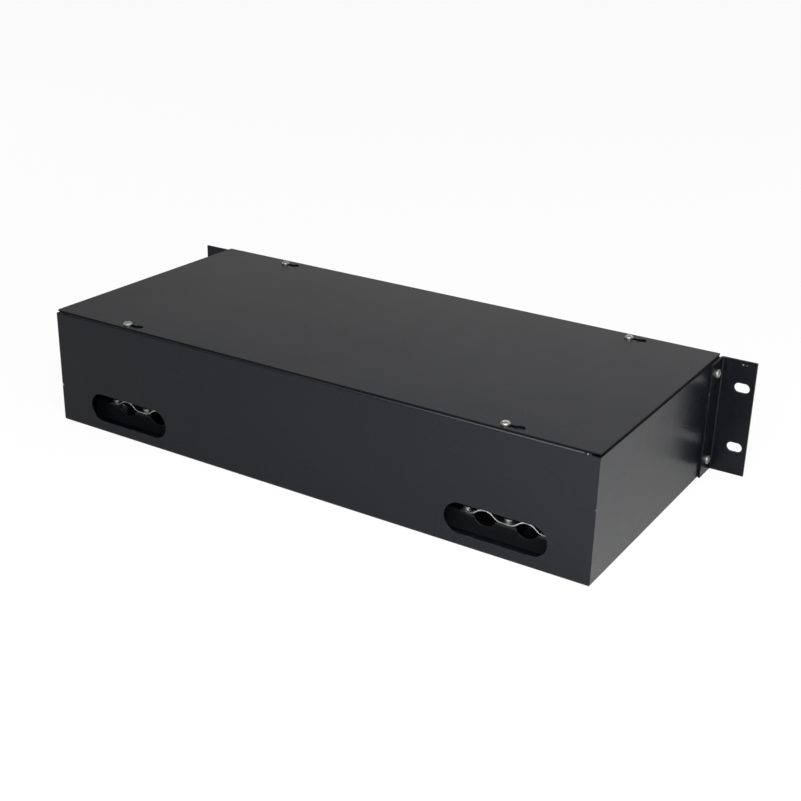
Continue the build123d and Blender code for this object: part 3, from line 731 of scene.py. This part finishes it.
def clear_lid():
    """Clear moulded sheet, with a faint smear of handling in its roughness."""
    work = Finish("clear_lid", Base_Color=(0.93, 0.96, 0.97, 1), Transmission_Weight=1.0, IOR=1.49)
    marks = work.group("hand_marks", Size=30.0)
    rough = work.spread(marks["Smudge"], low=0.0, high=1.0, bottom=0.04, top=0.12)
    work.feed(Roughness=work.added(rough, work.scaled(marks["Scuff"], 0.2)))
    return work.material


def print_ink():
    """White screen print: a little thin and uneven, so that the paint shows through."""
    work = Finish("print_ink")
    skin = work.group("orange_peel", Grain=1400.0)
    thin = work.spread(skin["Height"], low=0.45, high=0.95, bottom=0.0, top=0.22)
    work.feed(
        Base_Color=work.mix(thin, (0.78, 0.78, 0.76, 1), (0.30, 0.30, 0.30, 1)),
        Roughness=work.spread(skin["Drift"], low=0.3, high=0.7, bottom=0.5, top=0.6),
    )
    return work.material


# Metals: bright and dull colour, roughness and fineness of the lines
metals = {
    "screw_steel": ((0.42, 0.42, 0.41, 1), (0.33, 0.33, 0.32, 1), 0.46, 2.0),
    "zinc_strip": ((0.60, 0.61, 0.62, 1), (0.44, 0.45, 0.47, 1), 0.30, 1.0),
    "plated_steel": ((0.66, 0.67, 0.68, 1), (0.48, 0.49, 0.50, 1), 0.32, 2.0),
    "standoff_brass": ((0.80, 0.62, 0.30, 1), (0.62, 0.45, 0.20, 1), 0.26, 2.5),
    "sleeve_bronze": ((0.72, 0.47, 0.24, 1), (0.55, 0.34, 0.17, 1), 0.25, 2.5),
    "clip_spring": ((0.70, 0.71, 0.72, 1), (0.52, 0.53, 0.55, 1), 0.22, 1.6),
}

# Plastics: main and paler colour, roughness, grain and its depth
plastics = {
    "adapter_blue": ((0.010, 0.075, 0.36, 1), (0.022, 0.12, 0.46, 1), 0.34, 2200.0, 0.06),
    "cap_plastic": ((0.66, 0.68, 0.67, 1), (0.80, 0.81, 0.80, 1), 0.38, 2600.0, 0.05),
    "tray_plastic": ((0.60, 0.60, 0.56, 1), (0.70, 0.70, 0.66, 1), 0.48, 1600.0, 0.12),
    "comb_rubber": ((0.035, 0.035, 0.037, 1), (0.06, 0.06, 0.062, 1), 0.62, 1800.0, 0.2),
    "guide_nylon": ((0.55, 0.54, 0.49, 1), (0.66, 0.65, 0.60, 1), 0.45, 1800.0, 0.1),
}
plastic_sockets = {
    "cap_plastic": {"Subsurface_Weight": 0.25, "Subsurface_Scale": 0.002},
    "comb_rubber": {"Specular_IOR_Level": 0.3},
    "guide_nylon": {"Subsurface_Weight": 0.2, "Subsurface_Scale": 0.003},
}

finishes = {"powder_coat": plain_coat(), "lid_clear": clear_lid()}
for slot, look in metals.items():
    finishes[slot] = plated_metal(slot, *look)
for slot, look in plastics.items():
    finishes[slot] = moulded_plastic(slot, *look, **plastic_sockets.get(slot, {}))


# Stage

def white_share(tree):
    """How much plain white a ray meets: most for the camera, a little in metal and glass, and none in the
    light that falls on the box."""
    path = add_node(tree, "LightPath").outputs
    seen = math_of(tree, "MULTIPLY", path["Is Camera Ray"], white_seen)
    mirrored = math_of(tree, "MAXIMUM", path["Is Glossy Ray"], path["Is Transmission Ray"])
    return math_of(tree, "MAXIMUM", seen, math_of(tree, "MULTIPLY", mirrored, white_mirrored))


def floor_white():
    """Pale floor: white to the camera, with a share of plain diffuse left so that the box shades it."""
    material = bpy.data.materials.new("floor_white")
    material.use_nodes = True
    tree = material.node_tree
    tree.nodes.remove(tree.nodes["Principled BSDF"])
    plain = add_node(tree, "BsdfDiffuse", {"Color": floor_grey})
    glow = add_node(tree, "Emission", {"Color": (1, 1, 1, 1), "Strength": white_level})
    mix = add_node(tree, "MixShader", {0: white_share(tree), 1: plain.outputs[0], 2: glow.outputs[0]})
    tree.links.new(mix.outputs[0], tree.nodes["Material Output"].inputs["Surface"])
    return material


def add_floor():
    """A wide flat square just under the box."""
    side = np.linspace(-floor_reach / 2, floor_reach / 2, 9)
    x, y = np.meshgrid(side, side, indexing="ij")
    points, quads = surface(np.stack([x, y, np.full_like(x, cad_box[0].z - floor_drop)], -1))
    mesh = bpy.data.meshes.new("floor")
    mesh.from_pydata(points.tolist(), [], quads.tolist())
    mesh.materials.append(floor_white())
    floor = bpy.data.objects.new("floor", mesh)
    bpy.context.scene.collection.objects.link(floor)


def add_sky():
    """Soft room light: dim all round, a little brighter with height and towards the back of the room, and
    white to the camera."""
    world = bpy.data.worlds.new("studio")
    world.use_nodes = True
    bpy.context.scene.world = world
    tree = world.node_tree
    way = add_node(tree, "TexCoord").outputs["Generated"]
    up = add_node(tree, "SeparateXYZ", {0: way}).outputs["Z"]
    back = vector_math_of(tree, "DOT_PRODUCT", way, sky_back)
    above = spread(tree, up, low=0.0, high=1.0, bottom=sky_low, top=sky_high)
    behind = spread(tree, back, low=0.0, high=1.0, bottom=0.0, top=sky_back_gain)
    glow = math_of(tree, "ADD", above, behind)
    white = (white_level, white_level, white_level, 1)
    sky = tree.nodes["Background"]
    tree.links.new(mixed(tree, white_share(tree), glow, white), sky.inputs["Color"])


def aimed(place, aim):
    """Place and turn of a lamp or a camera that looks along its own low Z from one point to another."""
    look = (Vector(aim) - Vector(place)).to_track_quat("-Z", "Y").to_matrix().to_4x4()
    return Matrix.Translation(place) @ look


def add_softbox(name, place, aim, width, height, power):
    """A rectangular soft lamp that the camera doesn't see."""
    lamp = bpy.data.lights.new(name, "AREA")
    lamp.shape = "RECTANGLE"
    lamp.size = width
    lamp.size_y = height
    lamp.energy = power
    stand = bpy.data.objects.new(name, lamp)
    stand.matrix_world = aimed(place, aim)
    stand.visible_camera = False
    bpy.context.scene.collection.objects.link(stand)


def add_camera():
    """Camera at the photograph's viewpoint, rolled about its own axis."""
    lens = bpy.data.cameras.new("camera")
    lens.sensor_fit = "HORIZONTAL"
    lens.sensor_width = camera_sensor
    lens.lens = camera_lens
    lens.clip_start = camera_near
    lens.clip_end = camera_far
    camera = bpy.data.objects.new("camera", lens)
    camera.matrix_world = aimed(camera_place, camera_aim) @ Matrix.Rotation(camera_roll, 4, "Z")
    bpy.context.scene.collection.objects.link(camera)
    bpy.context.scene.camera = camera


# Screws and print in place of the plain CAD ones

up_axes = np.eye(3)
front_axes = np.array([[1, 0, 0], [0, 0, 1], [0, -1, 0]])
left_axes = np.array([[0, -1, 0], [0, 0, 1], [-1, 0, 0]])
right_axes = np.array([[0, 1, 0], [0, 0, 1], [1, 0, 0]])


def in_row(low, high, count):
    """Screw axes along one side of a set's box: one in its middle, or several evenly between the places
    that lie a head's radius inside its ends."""
    if count == 1:
        return [(low + high) / 2]
    return np.linspace(low + head_radius, high - head_radius, count)


def add_screw_set(name, shape, body, node):
    """Fine screws that stand for a node of plain ones."""
    add_piece(name, *shape, finishes["screw_steel"], body, "screw_steel", [node])


def add_upright_screws(name, body, node, columns, rows):
    """Screws with their heads up, in the columns and rows of a node's box."""
    low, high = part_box(node)
    seat = high.z - head_height
    spots = [(x, y, seat) for y in in_row(low.y, high.y, rows) for x in in_row(low.x, high.x, columns)]
    add_screw_set(name, screws(spots, up_axes, high.z - low.z - head_height), body, node)


def add_ear_screws():
    """Two screws through each ear's flange, one over the other, with their heads outwards."""
    low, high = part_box("ear_screws")
    y = (low.y + high.y) / 2
    heights = in_row(low.z, high.z, 2)
    left = screws([(low.x + head_height, y, z) for z in heights], left_axes, ear_screw_length)
    right = screws([(high.x - head_height, y, z) for z in heights], right_axes, ear_screw_length)
    add_screw_set("ear_screw_set", joined(left, right), "chassis", "ear_screws")


def add_panel_screws():
    """Screws in the corners of the adapter panel, with their heads to the front."""
    low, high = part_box("adapter_panel_screws")
    seat = low.y + head_height
    spots = [(x, seat, z) for z in in_row(low.z, high.z, 2) for x in in_row(low.x, high.x, 2)]
    shape = screws(spots, front_axes, high.y - low.y - head_height)
    add_screw_set("panel_screw_set", shape, "chassis", "adapter_panel_screws")


def add_port_numbers():
    """A number over each port of the adapter panel."""
    caps = [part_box(f"dust_cap_{number:02d}") for number in range(1, port_count + 1)]
    spots = [((low.x + high.x) / 2, (low.z + high.z) / 2) for low, high in caps]
    wall_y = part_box("adapter_panel")[0].y
    add_piece("port_numbers", *port_numbers(spots, wall_y), print_ink(), "chassis", "powder_coat")


# Put together

for subpart in frame["record"]["subparts"]:
    mesh = nodes[subpart["node"]].data
    mesh.materials.clear()
    mesh.materials.append(finishes[subpart["material_slot"]])

lit_saddle_finish = saddle_coat()
own_coats = {
    "top_cover": cover_coat(),
    "base_tray": tray_coat(),
    "cable_saddle_left": lit_saddle_finish,
    "cable_saddle_right": lit_saddle_finish,
}
for node, coat in own_coats.items():
    nodes[node].data.materials[0] = coat

add_upright_screws("cover_screw_set", "cover_fasteners", "cover_screws", columns=2, rows=2)
add_ear_screws()
add_panel_screws()
for hand in ("left", "right"):
    clamp_node = f"clamp_screws_{hand}"
    add_upright_screws(f"clamp_screw_set_{hand}", f"clamp_{hand}", clamp_node, columns=3, rows=1)
add_upright_screws("tray_screw_set", "chassis", "tray_screws", columns=2, rows=1)
add_port_numbers()

bpy.context.scene.view_settings.view_transform = "Standard"
add_floor()
add_sky()
for name, setting in lamps.items():
    add_softbox(name, *setting)
add_camera()
